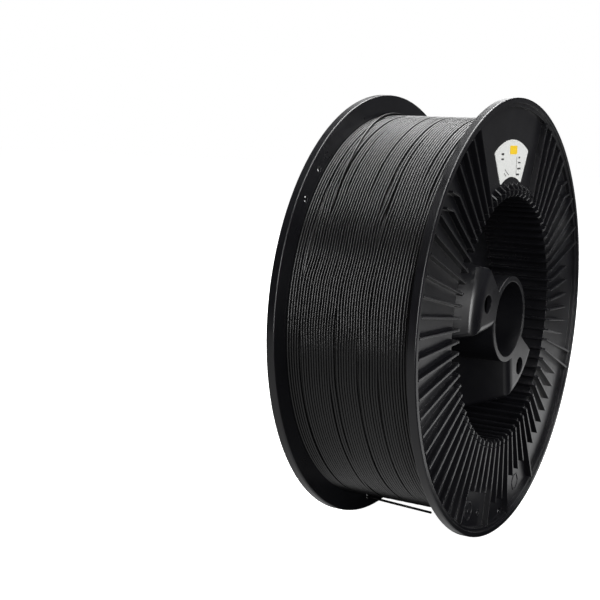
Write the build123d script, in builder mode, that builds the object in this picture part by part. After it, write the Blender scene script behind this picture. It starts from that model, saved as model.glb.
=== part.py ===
from build123d import *
from math import atan2, cos, degrees, hypot, pi, radians, sin, tan
import os

# Large filament spool, 300 mm across and 103 mm wide, wound with 1.75 mm filament.
#
# Frame: millimetres, the spool's axis is Y, the labelled side faces -Y and +Z is up.
# The origin is the middle of the bore, and the spool stands on its two rims at z = -150.
# Angles are seen from the labelled side: 0 degrees is +X and 90 degrees is +Z.
# A depth is measured from the middle plane of the spool out towards the labelled side.
# Both halves come out of one mould. The rear one is turned half a turn about +Z.

# Driving dimensions of the spool
spool_r = 150.0
spool_width = 103.0
bore_r = 26.0
flange_t = 6.0
filament_d = 1.75
winding_r = 136.0

# Flange: a thin web, a stepped rim and 72 ribs
web_t = 1.5
rim_inner_r = 144.0
rim_lip_r = 146.5
rim_step = 1.6
rim_round = 1.0
rib_count = 72
rib_t = 1.5
rib_recess = 0.3
rib_inner_r = 84.0
rib_nose = 1.6
short_rib_r = 120.0
short_ribs = [(247.5, 257.5), (282.5, 292.5), (302.5, 332.5), (347.5, 372.5)]
middle_rib_r = 129.5
middle_ribs = [(267.5, 272.5)]
hooked_rib_r = 130.5
hooked_ribs = [(137.5, 142.5), (37.5, 42.5)]
hook_tip_r = 139.5
hook_lean = 1.9

# Smooth panel for the label, with only the feet of its ribs left
panel_ribs = [(72.5, 112.5)]
panel_foot_r = 93.5
panel_foot_slope = 3.5

# Holes in the web that the free end of the filament is threaded through
parking_r = 141.5
parking_hole_r = 2.3
parking_angles = [35, 45, 135, 145, 265, 275]

# Opening that the first turn of filament starts from
start_angle = 140.0
start_width = 5.6
start_inner_r = 83.0
start_outer_r = 93.0
start_depth = 10.0

# Raised mould marks in the pockets between full ribs, left blank
mark_height = 0.4
mark_line = 0.9
dial_marks = [(250.0, 133.5, 6.4), (257.6, 134.0, 2.6)]
hexagon_mark = (288.0, 132.5, 6.5)

# Barrel, middle disc, hub tube and the two lobes with their drive-pin holes
barrel_r = 90.0
barrel_t = 2.0
disc_t = 3.0
hub_r = 29.7
hub_round = 0.6
lobe_flanks = [(136.2, 184.2), (328.0, 280.0)]
lobe_flat_r = 50.6
lobe_round = 9.6
lobe_flare = 0.35
lobe_draft = 0.2
lobe_edge_round = 6.0
lobe_corner = 3.0
lobe_wall = 2.5
lobe_face_t = 3.2
pin_hole_r = 6.2
pin_hole_at = 44.0
pin_hole_angles = [160.0, 304.0]

# Register ring that centres one half on the other
register_r = 62.0
register_t = 2.4
register_h = 1.5
register_play = 0.1

# Label on the panel, a piece of a fan
label_t = 0.3
label_angle = 91.0
fan_centre_r = 60.0
fan_inner_r = 37.0
fan_outer_r = 62.0
fan_half_angle = 30.0
label_corner = 1.5

# Levels worked out from these
half_width = spool_width / 2
web_in = half_width - flange_t
web_out = web_in + web_t
rib_top = half_width - rib_recess
rib_pitch = 360 / rib_count
overlap = 0.4

os.makedirs("parts", exist_ok=True)


def at_polar(radius, angle):
    """Point of the labelled side at a radius and an angle."""
    return (radius * cos(radians(angle)), radius * sin(radians(angle)))


def rib_angles(spans):
    """Angles of the ribs from the first to the last rib of each span."""
    angles = []
    for first, last in spans:
        for i in range(round((last - first) / rib_pitch) + 1):
            angles.append((first + i * rib_pitch) % 360)
    return angles


def turned_plane(angle):
    """Plane of the spool's middle, facing the labelled side, with local X at an angle."""
    return Plane((0, 0, 0), x_dir=(cos(radians(angle)), 0, sin(radians(angle))), z_dir=(0, -1, 0))


def strip(start, end, width):
    """Straight strip from one point to another."""
    run = (end[0] - start[0], end[1] - start[1])
    middle = ((start[0] + end[0]) / 2, (start[1] + end[1]) / 2, 0)
    with Locations(Location(middle, (0, 0, degrees(atan2(run[1], run[0]))))):
        Rectangle(hypot(*run), width)


def radial_strips(angles, inner_r, outer_r, width=rib_t):
    """Strips along the radius, one at each angle."""
    middle_r = (inner_r + outer_r) / 2
    with Locations([Location((*at_polar(middle_r, a), 0), (0, 0, a)) for a in angles]):
        Rectangle(outer_r - inner_r, width)


def lobe_solid(flanks, inset, bottom, top):
    """Lobe, or with an inset the hollow in it: a sector that widens with depth below its face.

    The first flank is upright. The second one is drafted, with a rounded front edge, and the
    wall between them flares outwards from the rounding of the face.
    """
    upright = Vector(*at_polar(1, flanks[0]))
    drafted = Vector(*at_polar(1, flanks[1]))
    spread = sin(radians(abs(flanks[1] - flanks[0])))
    reach = 2 * lobe_flat_r
    flat_r = lobe_flat_r - inset
    wall_slant = hypot(1, lobe_flare)
    wall_r = flat_r + lobe_round / wall_slant
    wall_below = lobe_round * (1 - lobe_flare / wall_slant)
    with BuildPart() as lobe:
        # one outline at the front and one at the middle disc, with a surface between them
        for depth in (top, bottom):
            below = half_width - depth
            lean = lobe_draft * below - inset
            apex = (drafted * inset - upright * lean) * (1 / spread)
            with BuildSketch(Plane.XZ.offset(depth)) as outline:
                Circle(wall_r + lobe_flare * (below - wall_below))
                with BuildLine():
                    Polyline(apex, apex + upright * reach, apex + drafted * reach, close=True)
                make_face(mode=Mode.INTERSECT)
                outer_ends = outline.vertices().sort_by(lambda end: hypot(end.X, end.Y))[-2:]
                fillet(outer_ends, lobe_corner)
        loft()

        # rounding where the outer wall meets the face
        with BuildSketch(Plane.XY):
            with BuildLine():
                round_start = (flat_r, -half_width)
                round_end = (wall_r, wall_below - half_width)
                RadiusArc(round_start, round_end, -lobe_round)
                Polyline(
                    round_end,
                    (reach, wall_below - half_width),
                    (reach, -half_width - 1),
                    (flat_r, -half_width - 1),
                    round_start,
                )
            make_face()
        revolve(axis=Axis.Y, mode=Mode.SUBTRACT)

        # rounded front edge of the drafted flank
        if inset == 0:
            side = 1 if flanks[1] > flanks[0] else -1
            outward = Vector(-side * drafted.Y, 0, side * drafted.X)
            edge_slant = hypot(1, lobe_draft)
            edge_start = (lobe_edge_round * (lobe_draft - edge_slant), 0)
            edge_end = (
                edge_start[0] + lobe_edge_round / edge_slant,
                lobe_edge_round * (lobe_draft / edge_slant - 1),
            )
            beyond = edge_end[0] + lobe_edge_round
            edge_plane = Plane(
                (0, -half_width, 0),
                x_dir=outward,
                z_dir=outward.cross(Vector(0, -1, 0)),
            )
            with BuildSketch(edge_plane):
                with BuildLine():
                    RadiusArc(edge_start, edge_end, lobe_edge_round)
                    Polyline(
                        edge_end,
                        (beyond, edge_end[1]),
                        (beyond, 1),
                        (edge_start[0], 1),
                        edge_start,
                    )
                make_face()
            extrude(amount=reach, both=True, mode=Mode.SUBTRACT)

        # room for the bore, or a wall between the hollow and the hub tube
        with BuildSketch(Plane.XZ.offset(bottom - 1)):
            Circle(hub_r - overlap + inset if inset else bore_r)
        extrude(amount=top - bottom + 2, mode=Mode.SUBTRACT)
    return lobe.part


lobes = [lobe_solid(flanks, 0, disc_t - overlap, half_width) for flanks in lobe_flanks]
lobe_hollows = [
    lobe_solid(flanks, lobe_wall, disc_t, half_width - lobe_face_t) for flanks in lobe_flanks
]


# The moulding that both halves are made from
with BuildPart() as moulding:
    # bore tube, middle disc, barrel, web and stepped rim, turned about the axis
    with BuildSketch(Plane.XY):
        with BuildLine():
            Polyline(
                (bore_r, 0),
                (bore_r, -half_width),
                (hub_r, -half_width),
                (hub_r, -disc_t),
                (barrel_r - barrel_t, -disc_t),
                (barrel_r - barrel_t, -web_out),
                (rim_inner_r, -web_out),
                (rim_inner_r, rim_step - half_width),
                (rim_lip_r, rim_step - half_width),
                (rim_lip_r, -half_width),
                (spool_r, -half_width),
                (spool_r, -web_in),
                (barrel_r, -web_in),
                (barrel_r, 0),
                close=True,
            )
        make_face()
    revolve(axis=Axis.Y)
    circles = moulding.edges().filter_by(GeomType.CIRCLE)
    fillet(circles.filter_by(lambda edge: abs(edge.radius - spool_r) < 0.01), rim_round)
    circles = moulding.edges().filter_by(GeomType.CIRCLE).group_by(Axis.Y)[0]
    fillet(circles.filter_by(lambda edge: abs(edge.radius - hub_r) < 0.01), hub_round)

    # ribs on the outside of the web, some of them stopping short or ending in a hook
    every_rib = [rib_pitch / 2 + rib_pitch * i for i in range(rib_count)]
    short = rib_angles(short_ribs)
    middle = rib_angles(middle_ribs)
    hooked = rib_angles(hooked_ribs)
    panel = rib_angles(panel_ribs)
    full = [a for a in every_rib if a not in short + middle + hooked + panel]
    rib_root_r = barrel_r - barrel_t / 2
    with BuildSketch(Plane.XZ.offset(web_out - overlap)):
        radial_strips(full, rib_root_r, rim_inner_r + overlap)
        radial_strips(short, rib_root_r, short_rib_r)
        radial_strips(middle, rib_root_r, middle_rib_r)
        radial_strips(hooked, rib_root_r, hooked_rib_r)
        radial_strips(panel, rib_root_r, panel_foot_r)
        for angle in hooked:
            tip_angle = angle + (hook_lean if angle > 90 else -hook_lean)
            strip(at_polar(hooked_rib_r, angle), at_polar(hook_tip_r, tip_angle), rib_t)
    extrude(amount=rib_top - web_out + overlap)

    # the same ribs running on down the inside of the barrel
    with BuildSketch(Plane.XZ.offset(disc_t - overlap)):
        radial_strips(every_rib, rib_inner_r, barrel_r - barrel_t + overlap)
    extrude(amount=rib_top - disc_t + overlap)

    # rounded noses of the ribs at the mouth of the barrel, and the sloping panel feet
    with BuildSketch(Plane.XY):
        with BuildLine():
            Polyline(
                (rib_inner_r - 1, -rib_top - 1),
                (rib_inner_r - 1, rib_nose - rib_top),
                (rib_inner_r, rib_nose - rib_top),
                (rib_inner_r + rib_nose, -rib_top),
                (rib_inner_r + rib_nose, -rib_top - 1),
                close=True,
            )
        make_face()
    revolve(axis=Axis.Y, mode=Mode.SUBTRACT)
    last_foot = radians(max(panel) + rib_pitch / 2)
    foot_plane = Plane(
        (0, 0, 0),
        x_dir=(cos(last_foot), 0, sin(last_foot)),
        z_dir=(-sin(last_foot), 0, cos(last_foot)),
    )
    with BuildSketch(foot_plane):
        with BuildLine():
            Polyline(
                (panel_foot_r - panel_foot_slope, -rib_top - 1),
                (panel_foot_r - panel_foot_slope, -rib_top),
                (panel_foot_r, -web_out - overlap),
                (panel_foot_r + 1, -web_out - overlap),
                (panel_foot_r + 1, -rib_top - 1),
                close=True,
            )
        make_face()
    revolve(axis=Axis.Y, revolution_arc=len(panel) * rib_pitch, mode=Mode.SUBTRACT)

    # lobes beside the bore, each hollowed out from the middle disc to its front wall, with a
    # drive-pin hole through that wall
    add(lobes)
    add(lobe_hollows, mode=Mode.SUBTRACT)
    with BuildSketch(Plane.XZ.offset(half_width - lobe_face_t - 1)):
        for angle in pin_hole_angles:
            with Locations(at_polar(pin_hole_at, angle)):
                Circle(pin_hole_r)
    extrude(amount=lobe_face_t + 2, mode=Mode.SUBTRACT)

    # parking holes through the web, and the opening that the filament starts from
    with BuildSketch(Plane.XZ.offset(web_in - 1)):
        for angle in parking_angles:
            with Locations(at_polar(parking_r, angle)):
                Circle(parking_hole_r)
    extrude(amount=web_t + 2, mode=Mode.SUBTRACT)
    with BuildSketch(Plane.XZ.offset(web_out - start_depth)):
        radial_strips([start_angle], start_inner_r, start_outer_r, start_width)
    extrude(amount=start_depth + 1, mode=Mode.SUBTRACT)

    # blank mould marks: two dials and a hexagon
    with BuildSketch(Plane.XZ.offset(web_out - overlap)):
        for angle, radius, size in dial_marks:
            with Locations(at_polar(radius, angle)):
                Circle(size)
                Circle(size - mark_line, mode=Mode.SUBTRACT)
                Circle(size / 4)
        angle, radius, size = hexagon_mark
        with Locations(at_polar(radius, angle)):
            RegularPolygon(size, 6)
            RegularPolygon(size - mark_line, 6, mode=Mode.SUBTRACT)
    extrude(amount=mark_height + overlap)

# Labelled half, with the register ring standing proud of the middle plane
with BuildPart() as front_half:
    add(moulding.part)
    with BuildSketch(Plane.XZ.offset(-register_h)):
        Circle(register_r)
        Circle(register_r - register_t, mode=Mode.SUBTRACT)
    extrude(amount=register_h + disc_t / 2)
front_half.part.label = "front_half"

# Rear half: the same moulding turned round, with the groove that takes the ring
with BuildPart() as rear_half:
    add(moulding.part, rotation=(0, 0, 180))
    with BuildSketch(Plane.XZ.offset(-register_h - register_play)):
        Circle(register_r + register_play)
        Circle(register_r - register_t - register_play, mode=Mode.SUBTRACT)
    extrude(amount=register_h + register_play, mode=Mode.SUBTRACT)
rear_half.part.label = "rear_half"

# Paper label, stuck to the smooth panel
with BuildPart() as label:
    with BuildSketch(turned_plane(label_angle).offset(web_out)) as fan:
        with Locations((fan_centre_r, 0)):
            Circle(fan_outer_r)
            Circle(fan_inner_r, mode=Mode.SUBTRACT)
        with BuildLine():
            reach = 2 * fan_outer_r
            half_span = reach * sin(radians(fan_half_angle))
            fan_x = fan_centre_r + reach * cos(radians(fan_half_angle))
            Polyline((fan_centre_r, 0), (fan_x, half_span), (fan_x, -half_span), close=True)
        make_face(mode=Mode.INTERSECT)
        fillet(fan.vertices(), label_corner)
    extrude(amount=label_t)
label.part.label = "label"

# Filament wound between the two flanges, as one solid ring
with BuildPart() as filament_winding:
    with BuildSketch(Plane.XZ.offset(-web_in)):
        Circle(winding_r)
        Circle(barrel_r, mode=Mode.SUBTRACT)
    extrude(amount=2 * web_in)
filament_winding.part.label = "filament_winding"

# Free end of the filament: off the winding, out through one parking hole of the rear
# flange, back in through the next one, and a straight end that points across the spool
tail_route = [
    (49.05, 43.9, -127.79),
    (31.0, 43.7, -135.2),
    (16.2, 42.65, -139.9),
    (8.4, 49.85, -142.0),
    (-8.4, 49.95, -141.9),
    (-16.2, 42.55, -140.0),
    (-14.9, 27.0, -141.3),
    (-10.4, -5.0, -144.3),
]
with BuildPart() as filament_tail:
    points = [Vector(*point) for point in tail_route]
    radii = []
    for before, corner, after in zip(points, points[1:], points[2:]):
        turn = (corner - before).get_angle(after - corner)
        shorter_run = min((corner - before).length, (after - corner).length)
        radii.append(0.45 * shorter_run / tan(radians(turn / 2)))
    with BuildLine() as tail_path:
        FilletPolyline(*points, radius=radii)
    with BuildSketch(Plane(points[0], z_dir=points[1] - points[0])):
        Circle(filament_d / 2)
    sweep()
filament_tail.part.label = "filament_tail"
tail_length = tail_path.wires()[0].length
print("tail radii", [round(radius, 1) for radius in radii])
print("tail length", round(tail_length, 1), "volume ratio",
      round(filament_tail.part.volume / (pi * filament_d**2 / 4 * tail_length), 4))

export_step(front_half.part, "parts/front_half.step")
export_step(rear_half.part, "parts/rear_half.step")
export_step(label.part, "parts/label.step")
export_step(filament_winding.part, "parts/filament_winding.step")
export_step(filament_tail.part, "parts/filament_tail.step")
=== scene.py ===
from math import atan2, cos, degrees, pi, radians, sin, sqrt

import bpy
import numpy as np
from mathutils import Matrix, Vector


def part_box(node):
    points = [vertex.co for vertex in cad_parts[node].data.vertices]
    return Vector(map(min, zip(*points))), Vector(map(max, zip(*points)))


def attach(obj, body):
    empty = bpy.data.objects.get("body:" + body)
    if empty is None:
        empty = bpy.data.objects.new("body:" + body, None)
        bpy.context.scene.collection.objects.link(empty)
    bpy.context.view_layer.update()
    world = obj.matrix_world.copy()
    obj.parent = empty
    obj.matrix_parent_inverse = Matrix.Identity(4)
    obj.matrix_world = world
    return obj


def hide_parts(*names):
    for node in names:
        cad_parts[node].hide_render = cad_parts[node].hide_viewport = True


# Looks of a large black filament spool. Metres, with the spool's axis on Y, the labelled
# side facing -Y and +Z up. Angles round the axis are seen from the labelled side:
# 0 degrees is +X and 90 degrees is +Z.

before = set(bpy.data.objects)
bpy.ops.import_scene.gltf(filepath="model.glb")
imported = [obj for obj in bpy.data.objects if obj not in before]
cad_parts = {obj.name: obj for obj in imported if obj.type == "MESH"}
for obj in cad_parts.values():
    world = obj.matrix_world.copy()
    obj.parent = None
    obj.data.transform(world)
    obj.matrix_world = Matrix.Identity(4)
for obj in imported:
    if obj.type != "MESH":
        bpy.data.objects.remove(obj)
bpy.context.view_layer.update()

MM = 0.001
random = np.random.default_rng(7)

# Sizes that come from the frame
WINDING_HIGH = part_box("filament_winding")[1]
WINDING_R = WINDING_HIGH.x
WINDING_HALF = WINDING_HIGH.y
SPOOL_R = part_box("front_half")[1].x
LABEL_LOW, LABEL_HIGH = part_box("label")
FLOOR_Z = -SPOOL_R

# The strand, its turns and its free end
STRAND_D = 1.75 * MM
STRAND_R = STRAND_D / 2
STRAND_SIDES = 10
TURNS = 47
STEPS_PER_TURN = 144
TOP_LAYER_R = WINDING_R - STRAND_R
TAIL_ROUTE_MM = [
    (49.05, 43.9, -127.79),
    (31.0, 43.7, -135.2),
    (16.2, 42.65, -139.9),
    (8.4, 49.85, -142.0),
    (-8.4, 49.95, -141.9),
    (-16.2, 42.55, -140.0),
    (-14.9, 27.0, -141.3),
    (-10.4, -5.0, -144.3),
]


def link(obj):
    bpy.context.scene.collection.objects.link(obj)
    return obj


# ---------------------------------------------------------------- camera


def place_camera():
    """Camera low down and well round to the side where the winding shows."""
    azimuth, elevation, roll = radians(-59.576), radians(8.464), radians(1.78)
    aside, above, distance = -99.49 * MM, 7.86 * MM, 854.2 * MM
    focal_over_width = 2.01286
    back = Vector((
        sin(azimuth) * cos(elevation),
        -cos(azimuth) * cos(elevation),
        sin(elevation),
    ))
    level = Vector((0, 0, 1)).cross(back).normalized()
    upright = back.cross(level)
    right = level * cos(roll) + upright * sin(roll)
    up = upright * cos(roll) - level * sin(roll)
    data = bpy.data.cameras.new("camera")
    camera = link(bpy.data.objects.new("camera", data))
    data.sensor_width = 36
    data.lens = focal_over_width * data.sensor_width
    data.clip_start, data.clip_end = 0.01, 50
    turn = Matrix((right, up, back)).transposed()
    camera.matrix_world = turn.to_4x4()
    camera.location = right * aside + up * above + back * distance
    bpy.context.scene.camera = camera


# ---------------------------------------------------------------- node helpers


class Shader:
    """A material's node tree, with short calls for the nodes used here."""

    def __init__(self, name):
        self.material = bpy.data.materials.new(name)
        self.material.use_nodes = True
        self.tree = self.material.node_tree
        self.surface = self.tree.nodes["Principled BSDF"]

    def add(self, kind, **settings):
        node = self.tree.nodes.new("ShaderNode" + kind)
        for key, value in settings.items():
            setattr(node, key, value)
        return node

    def join(self, value, socket):
        """Links an output socket, or sets a constant."""
        if isinstance(value, bpy.types.NodeSocket):
            self.tree.links.new(value, socket)
        else:
            socket.default_value = value

    def place(self):
        """Position in the row frame."""
        return self.add("TexCoord").outputs["Object"]

    def noise(self, scale, detail=2.0, stretch=None, rough=0.5):
        """Noise in the row frame, from 0 to 1, with features about 1/scale metres across."""
        node = self.add("TexNoise")
        node.inputs["Scale"].default_value = scale
        node.inputs["Detail"].default_value = detail
        node.inputs["Roughness"].default_value = rough
        where = self.place()
        if stretch:
            mapping = self.add("Mapping")
            mapping.inputs["Scale"].default_value = stretch
            self.join(where, mapping.inputs["Vector"])
            where = mapping.outputs["Vector"]
        self.join(where, node.inputs["Vector"])
        return node.outputs["Fac"]

    def span(self, value, low, high, to_low, to_high):
        """Value from low..high mapped onto to_low..to_high, and held at the ends."""
        node = self.add("MapRange")
        for key, v in zip(("Value", "From Min", "From Max", "To Min", "To Max"),
                          (value, low, high, to_low, to_high)):
            self.join(v, node.inputs[key])
        return node.outputs["Result"]

    def math(self, operation, a, b=0.0, c=0.0):
        node = self.add("Math", operation=operation)
        for i, v in enumerate((a, b, c)):
            self.join(v, node.inputs[i])
        return node.outputs["Value"]

    def blend(self, amount, first, second):
        """Colour from first to second."""
        node = self.add("Mix", data_type="RGBA")
        self.join(amount, node.inputs["Factor"])
        self.join(first, node.inputs[6])
        self.join(second, node.inputs[7])
        return node.outputs[2]

    def bump(self, height, distance, strength=1.0, under=None):
        node = self.add("Bump")
        node.inputs["Strength"].default_value = strength
        node.inputs["Distance"].default_value = distance
        self.join(height, node.inputs["Height"])
        if under is not None:
            self.join(under, node.inputs["Normal"])
        return node.outputs["Normal"]


def grey(value, tint=0.0):
    """Linear grey, a touch bluer with tint."""
    return (value, value, value * (1 + tint), 1.0)


# ---------------------------------------------------------------- materials


def spool_plastic(name):
    """Black moulded plastic: satin, spark-eroded grain, faint flow clouds, and edges painted
    lighter in patches as a painted highlight, a little less rough there.
    """
    s = Shader(name)
    edge_round = 0.5 * MM
    rounded = s.add("Bevel", samples=6)
    rounded.inputs["Radius"].default_value = edge_round
    facing = s.add("VectorMath", operation="DOT_PRODUCT")
    s.join(rounded.outputs["Normal"], facing.inputs[0])
    s.join(s.add("NewGeometry").outputs["Normal"], facing.inputs[1])
    edge = s.span(facing.outputs["Value"], 0.995, 0.90, 0.0, 1.0)
    # painted highlight: edges found from the bevel normal, broken into patches by noise
    painted_edge_highlight = s.math("MULTIPLY", edge, s.span(s.noise(260, 3), 0.42, 0.62, 0.0, 1.0))

    clouds = s.noise(28, 3)
    cloudy = s.blend(s.span(clouds, 0.3, 0.7, 0.0, 1.0), grey(0.0034, 0.25), grey(0.0052, 0.25))
    # the painted edge highlight mixes the colour towards a lighter bluish grey
    colour = s.blend(s.math("MULTIPLY", painted_edge_highlight, 0.5), cloudy, grey(0.030, 0.08))
    s.join(colour, s.surface.inputs["Base Color"])

    smears = s.noise(70, 4, rough=0.65)
    rough = s.span(smears, 0.3, 0.7, 0.27, 0.35)
    rough = s.math("SUBTRACT", rough, s.math("MULTIPLY", painted_edge_highlight, 0.07))
    s.join(rough, s.surface.inputs["Roughness"])
    s.surface.inputs["Specular IOR Level"].default_value = 0.5

    grain = s.bump(s.noise(2600, 2), 0.05 * MM, 0.22, rounded.outputs["Normal"])
    ripple = s.bump(s.noise(120, 2), 0.12 * MM, 0.25, grain)
    s.join(ripple, s.surface.inputs["Normal"])
    return s.material


def strand_plastic(name):
    """Glossy black extruded filament, with a slight change of gloss along its length."""
    s = Shader(name)
    clouds = s.span(s.noise(30, 2), 0.35, 0.7, 0.0, 1.0)
    s.join(s.blend(clouds, grey(0.0020, 0.1), grey(0.0032, 0.1)), s.surface.inputs["Base Color"])
    s.join(s.span(s.noise(24, 2), 0.3, 0.7, 0.28, 0.34), s.surface.inputs["Roughness"])
    return s.material


def paper(name):
    """White coated paper, with faint fibres and a little gloss."""
    s = Shader(name)
    fibres = s.noise(1500, 4, stretch=(1.0, 1.0, 0.35))
    cover = s.span(fibres, 0.3, 0.7, 0.0, 1.0)
    colour = s.blend(cover, (0.52, 0.53, 0.515, 1), (0.60, 0.605, 0.59, 1))
    s.join(colour, s.surface.inputs["Base Color"])
    s.join(s.span(s.noise(60, 3), 0.3, 0.7, 0.38, 0.52), s.surface.inputs["Roughness"])
    s.join(s.bump(fibres, 0.03 * MM, 0.3), s.surface.inputs["Normal"])
    return s.material


def floor_material():
    """Pale matt paint that glows, so that the floor meets the backdrop without an edge."""
    s = Shader("floor_paint")
    speckle = s.span(s.noise(35, 3), 0.3, 0.7, 0.0, 1.0)
    s.join(s.blend(speckle, grey(0.60), grey(0.64)), s.surface.inputs["Base Color"])
    s.surface.inputs["Roughness"].default_value = 0.8
    s.surface.inputs["Emission Color"].default_value = grey(1.0)
    s.surface.inputs["Emission Strength"].default_value = 1.0
    return s.material


# ---------------------------------------------------------------- meshes


def mesh_object(name, points, faces, material, smooth=True):
    mesh = bpy.data.meshes.new(name)
    mesh.from_pydata([tuple(p) for p in points], [], faces)
    mesh.polygons.foreach_set("use_smooth", [smooth] * len(mesh.polygons))
    mesh.materials.append(material)
    mesh.update()
    return link(bpy.data.objects.new(name, mesh))


def smooth_step(value, low, high):
    t = np.clip((value - low) / (high - low), 0.0, 1.0)
    return t * t * (3 - 2 * t)


def window(angle, first, last, ramp=9.0):
    """1 from the first to the last angle, fading out over a ramp on each side."""
    return smooth_step(angle, first - ramp, first) * (1 - smooth_step(angle, last, last + ramp))


def strand_mesh(name, line, material):
    """Closed tube of the strand's thickness along a line of points that winds round Y."""
    line = np.asarray(line)
    along = np.gradient(line, axis=0)
    along /= np.linalg.norm(along, axis=1)[:, None]
    out = line * np.array([1.0, 0.0, 1.0])
    out /= np.linalg.norm(out, axis=1)[:, None]
    aside = np.cross(along, out)
    aside /= np.linalg.norm(aside, axis=1)[:, None]
    out = np.cross(aside, along)
    sides = STRAND_SIDES
    turn = 2 * pi * np.arange(sides) / sides
    ring = STRAND_R * (np.cos(turn)[None, :, None] * out[:, None, :]
                       + np.sin(turn)[None, :, None] * aside[:, None, :])
    points = (line[:, None, :] + ring).reshape(-1, 3)
    here = np.arange(sides)
    after = (here + 1) % sides
    base = np.arange(len(line) - 1)[:, None] * sides
    quads = np.stack([base + here, base + after, base + sides + after, base + sides + here], axis=2)
    faces = quads.reshape(-1, 4).tolist()
    faces.append(list(range(sides))[::-1])
    faces.append(list(range(len(points) - sides, len(points))))
    return mesh_object(name, points, faces, material)


# ---------------------------------------------------------------- winding

# Gaps that have opened between turns: sideways place in mm, first and last angle, width in mm
GAPS = [
    (35.8, 187, 249, 0.45),
    (29.2, 70, 140, 0.95),
    (37.3, 86, 158, 0.60),
    (15.4, 200, 231, 0.30),
    (11.3, 180, 212, 0.35),
    (-5.5, 186, 241, 0.45),
    (-19.3, 196, 232, 0.35),
    (6.7, 98, 134, 0.55),
    (-4.5, 84, 139, 0.90),
    (-9.6, 120, 149, 0.50),
    (-26.4, 88, 129, 0.70),
    (-33.0, 94, 136, 0.60),
    (12.9, 238, 262, 0.50),
    (25.0, 118, 134, 0.45),
    (-29.0, 262, 330, 0.60),
    (18.0, 285, 350, 0.70),
    (-12.0, 300, 372, 0.60),
    (31.0, 320, 372, 0.60),
    (2.0, 345, 420, 0.70),
    (-36.0, 350, 400, 0.50),
]


def lane_places(angles):
    """Sideways place of every turn at every angle, in metres: rows are turns."""
    gap_gain, wave_height, least_share, share_unit = 1.1, 0.12, 0.05, 0.06 * MM
    seams = TURNS - 1
    slack = 2 * WINDING_HALF - TURNS * STRAND_D
    even = (2 * WINDING_HALF - STRAND_D) / seams
    share = np.repeat(0.35 + 0.8 * random.uniform(0, 1, (seams, 1)) ** 2.5, len(angles), axis=1)
    for wave in range(1, 5):
        phase = random.uniform(0, 2 * pi, seams)[:, None]
        share += wave_height * np.sin(wave * np.radians(angles)[None, :] + phase)
    share = np.maximum(share, least_share) * share_unit
    for place, first, last, width in GAPS:
        seam = int(round((place * MM + WINDING_HALF - STRAND_R) / even - 0.5))
        shown = window(angles, first, last) + window(angles + 360, first, last)
        share[seam] += gap_gain * width * MM * shown
    spacing = STRAND_D + share * (slack / share.sum(axis=0))
    start = np.full((1, len(angles)), STRAND_R - WINDING_HALF)
    return np.concatenate([start, start + np.cumsum(spacing, axis=0)])


def build_winding(material):
    """The outer layer of the winding: one strand that steps from lane to lane on the far side."""
    steps = STEPS_PER_TURN
    angles = np.arange(steps) * 360.0 / steps
    lanes = lane_places(angles)
    step_first, step_last = 302.0, 58.0
    sink, wobble_height = 0.05 * MM, 0.06 * MM
    position = np.arange(TURNS * steps)
    turn = position // steps
    k = (steps - position % steps) % steps
    angle = angles[k]
    # the step to the next lane is spread over the far side, from step_last down to step_first
    progress = smooth_step((step_last - angle) % 360, 0.0, (step_last - step_first) % 360)
    behind = (step_last - angle) % 360
    moving = behind <= (step_last - step_first) % 360
    # a turn starts at angle 0, half way through its step
    here = lanes[turn, k]
    before = lanes[np.maximum(turn - 1, 0), k]
    after = lanes[np.minimum(turn + 1, TURNS - 1), k]
    first_half = moving & (angle <= 180) & (position % steps > steps // 2)
    second_half = moving & ((angle > 180) | (position % steps == 0))
    place = here.copy()
    place[first_half] = (here + (after - here) * progress)[first_half]
    place[second_half] = (before + (here - before) * progress)[second_half]
    wobble = wobble_height * np.sin(np.radians(angle) * 3 + turn * 1.7)
    radius = TOP_LAYER_R - sink + wobble
    line = np.stack([
        radius * np.cos(np.radians(angle)),
        place,
        radius * np.sin(np.radians(angle)),
    ], axis=1)
    piece = strand_mesh("winding_top_layer", line, material)
    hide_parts("filament_winding")
    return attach(piece, "root")


def build_lower_layer(material):
    """The layer underneath, which shows in the gaps: a closed ring with a bead for each turn."""
    beads, per_bead, steps = TURNS, 4, STEPS_PER_TURN
    bottom_r = TOP_LAYER_R - 6 * MM
    centre_r = TOP_LAYER_R - 1.3 * STRAND_D
    half = WINDING_HALF
    profile = [(bottom_r, -half)]
    for bead in range(beads):
        middle = -half + (bead + 0.5) * 2 * half / beads
        for i in range(per_bead + 1):
            turn = pi * i / per_bead
            if i == 0 and bead > 0:
                continue
            profile.append((centre_r + STRAND_R * sin(turn), middle - half / beads * cos(turn)))
    profile.append((bottom_r, half))
    points, faces = [], []
    n = len(profile)
    for step in range(steps):
        a = 2 * pi * step / steps
        points += [(r * cos(a), y, r * sin(a)) for r, y in profile]
        after = (step + 1) % steps
        for j in range(n):
            k = (j + 1) % n
            faces.append((step * n + j, step * n + k, after * n + k, after * n + j))
    piece = mesh_object("winding_lower_layer", points, faces, material)
    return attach(piece, "root")


def build_last_turn(material):
    """The last turn: it climbs out of a gap, rides over its neighbours and meets the free end."""
    first_angle, angle_step, hair = 152.0, 2.5, 0.001
    gap_place = 29.6 * MM
    meet = Vector(TAIL_ROUTE_MM[0]) * MM
    end_angle = degrees(atan2(meet.z, meet.x))
    ride_r = sqrt(meet.x ** 2 + meet.z ** 2)
    angles = np.arange(first_angle, end_angle - hair, -angle_step)
    angles = np.append(angles, end_angle)
    rise = smooth_step(-angles, -150.0, -132.0)
    across = smooth_step(-angles, -140.0, -78.0)
    radius = (TOP_LAYER_R - STRAND_D) * (1 - rise) + ride_r * rise
    place = gap_place * (1 - across) + meet.y * across
    line = np.stack([
        radius * np.cos(np.radians(angles)),
        place,
        radius * np.sin(np.radians(angles)),
    ], axis=1)
    piece = strand_mesh("winding_last_turn", line, material)
    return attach(piece, "root")


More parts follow.
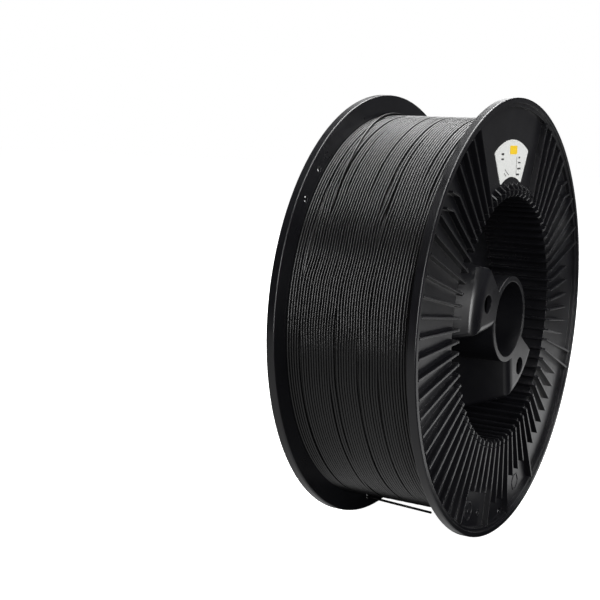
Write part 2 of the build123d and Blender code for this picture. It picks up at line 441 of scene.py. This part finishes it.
def build_tail(material):
    """The free end of the strand, threaded through two holes of the rear flange."""
    data = bpy.data.curves.new("tail_strand", "CURVE")
    data.dimensions = "3D"
    data.bevel_depth = STRAND_R
    data.bevel_resolution = 4
    data.use_fill_caps = True
    spline = data.splines.new("NURBS")
    spline.points.add(len(TAIL_ROUTE_MM) - 1)
    for point, place in zip(spline.points, TAIL_ROUTE_MM):
        point.co = (*(v * MM for v in place), 1.0)
    spline.order_u = 3
    spline.use_endpoint_u = True
    spline.resolution_u = 16
    data.materials.append(material)
    piece = link(bpy.data.objects.new("tail_strand", data))
    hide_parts("filament_tail")
    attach(piece, "root")
    return piece


# ---------------------------------------------------------------- label

# Plain printed shapes on the label in mm: across, up, width, height, tilt in degrees
DARK_BARS = [
    (-16.8, 112.4, 4.6, 1.4, 0),
    (-16.6, 109.0, 4.6, 1.2, 0),
    (9.4, 104.6, 0.6, 11.5, 0),
    (14.2, 109.8, 2.8, 1.2, 0),
    (14.8, 106.4, 4.8, 1.0, 0),
    (14.6, 102.3, 6.4, 1.2, 0),
    (12.4, 98.4, 6.0, 1.2, 0),
    (-10.6, 98.6, 4.8, 0.6, -28),
    (-7.8, 100.2, 8.4, 0.6, -27),
]
COLOUR_MARK = (2.8, 115.0, 13.5, 5.8, 0)


def ink(name, thin, thick):
    """Printing ink, a little patchy where it covers the paper thinly."""
    s = Shader(name)
    cover = s.span(s.noise(2500, 3), 0.3, 0.7, 0.0, 1.0)
    s.join(s.blend(cover, thin, thick), s.surface.inputs["Base Color"])
    s.join(s.span(s.noise(400, 2), 0.3, 0.7, 0.35, 0.5), s.surface.inputs["Roughness"])
    return s.material


def build_print(name, bars, corner, material):
    """Flat printed shapes with rounded corners, a hair in front of the label."""
    ink_height = 0.04 * MM
    front = LABEL_LOW.y - ink_height
    centre = (LABEL_LOW.x + LABEL_HIGH.x) / 2
    points, faces = [], []
    for across, up, width, height, tilt in bars:
        c, t = cos(radians(tilt)), sin(radians(tilt))
        first = len(points)
        for quarter in range(4):
            # middle of the rounding of one corner
            mid_a = (width / 2 - corner) * (1 if quarter in (0, 3) else -1)
            mid_b = (height / 2 - corner) * (1 if quarter < 2 else -1)
            for step in range(4):
                turn = radians(quarter * 90 + step * 30)
                a, b = mid_a + corner * cos(turn), mid_b + corner * sin(turn)
                points.append((
                    centre + (across + a * c - b * t) * MM,
                    front,
                    (up + a * t + b * c) * MM,
                ))
        faces.append(list(range(first, len(points))))
    piece = mesh_object(name, points, faces, material, smooth=False)
    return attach(piece, "root")


# ---------------------------------------------------------------- studio


def area_light(name, place, aim, size, power):
    """White rectangular light that faces a point and is not itself seen."""
    data = bpy.data.lights.new(name, "AREA")
    data.shape = "RECTANGLE"
    data.size, data.size_y = size
    data.energy = power
    light = link(bpy.data.objects.new(name, data))
    light.location = place
    light.rotation_mode = "QUATERNION"
    light.rotation_quaternion = (aim - place).to_track_quat("-Z", "Y")
    light.visible_camera = False


def around(azimuth, elevation, distance):
    """Point seen from the middle of the spool at an azimuth from +X and an elevation."""
    a, e = radians(azimuth), radians(elevation)
    return Vector((cos(a) * cos(e), sin(a) * cos(e), sin(e))) * distance


# Soft lights that aim at the middle of the spool: azimuth from +X, elevation, distance in metres,
# size in metres and power in watts
SOFTBOXES = {
    "overhead_softbox": (12, 84, 1.6, (0.45, 3.0), 68),
    "left_softbox": (213, 12, 1.6, (0.27, 1.15), 20),
    "front_softbox": (318, 52, 1.6, (0.9, 0.45), 5.5),
    "back_softbox": (62, 22, 2.0, (2.2, 1.4), 12),
    "right_softbox": (18, 15, 1.8, (0.6, 1.2), 6),
    "front_fill": (280, 25, 1.6, (1.0, 1.0), 24),
}
# Faint cards that lie on the floor and face up: place, size and power
FLOOR_CARDS = {
    "left_card": (-0.5, 0.25, (0.9, 0.8), 1.2),
    "right_card": (0.38, -0.28, (0.60, 0.42), 0.85),
}


def build_studio():
    """Plain pale floor and backdrop, softboxes round the spool and faint cards on the floor."""
    bpy.context.scene.view_settings.view_transform = "Standard"
    reach, card_height = 6, 0.002
    floor = mesh_object(
        "floor",
        [(x * reach, y * reach, FLOOR_Z) for x, y in ((-1, -1), (1, -1), (1, 1), (-1, 1))],
        [(0, 1, 2, 3)], floor_material(), smooth=False)
    floor.visible_glossy = False
    floor.visible_diffuse = False
    middle = Vector((0, 0, 0))
    for name, (azimuth, elevation, distance, size, power) in SOFTBOXES.items():
        area_light(name, around(azimuth, elevation, distance), middle, size, power)
    bpy.data.objects["front_fill"].visible_glossy = False
    for name, (x, y, size, power) in FLOOR_CARDS.items():
        card = Vector((x, y, FLOOR_Z + card_height))
        area_light(name, card, card + Vector((0, 0, 1)), size, power)
    area_light("far_card", Vector((2.6, -1.3, 0.05)), middle, (2.4, 0.6), 0.6)
    world = bpy.data.worlds.new("studio")
    bpy.context.scene.world = world
    world.use_nodes = True
    background = world.node_tree.nodes["Background"]
    background.inputs["Color"].default_value = (1, 1, 1, 1)
    background.inputs["Strength"].default_value = 1.0
    world.cycles_visibility.glossy = False
    world.cycles_visibility.diffuse = False


place_camera()
strand = strand_plastic("strand_plastic")
build_tail(strand)
build_winding(strand)
build_lower_layer(strand)
build_last_turn(strand)
for node in ("front_half", "rear_half"):
    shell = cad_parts[node]
    plastic = spool_plastic(node + "_plastic")
    shell.data.materials.clear()
    shell.data.materials.append(plastic)
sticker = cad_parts["label"]
sticker.data.materials.clear()
sticker.data.materials.append(paper("label_paper"))
build_print("label_bars", DARK_BARS, 0.12, ink("dark_ink", grey(0.05), grey(0.02)))
yellow = ink("yellow_ink", (0.72, 0.50, 0.03, 1), (0.66, 0.43, 0.01, 1))
build_print("label_mark", [COLOUR_MARK], 1.2, yellow)
build_studio()
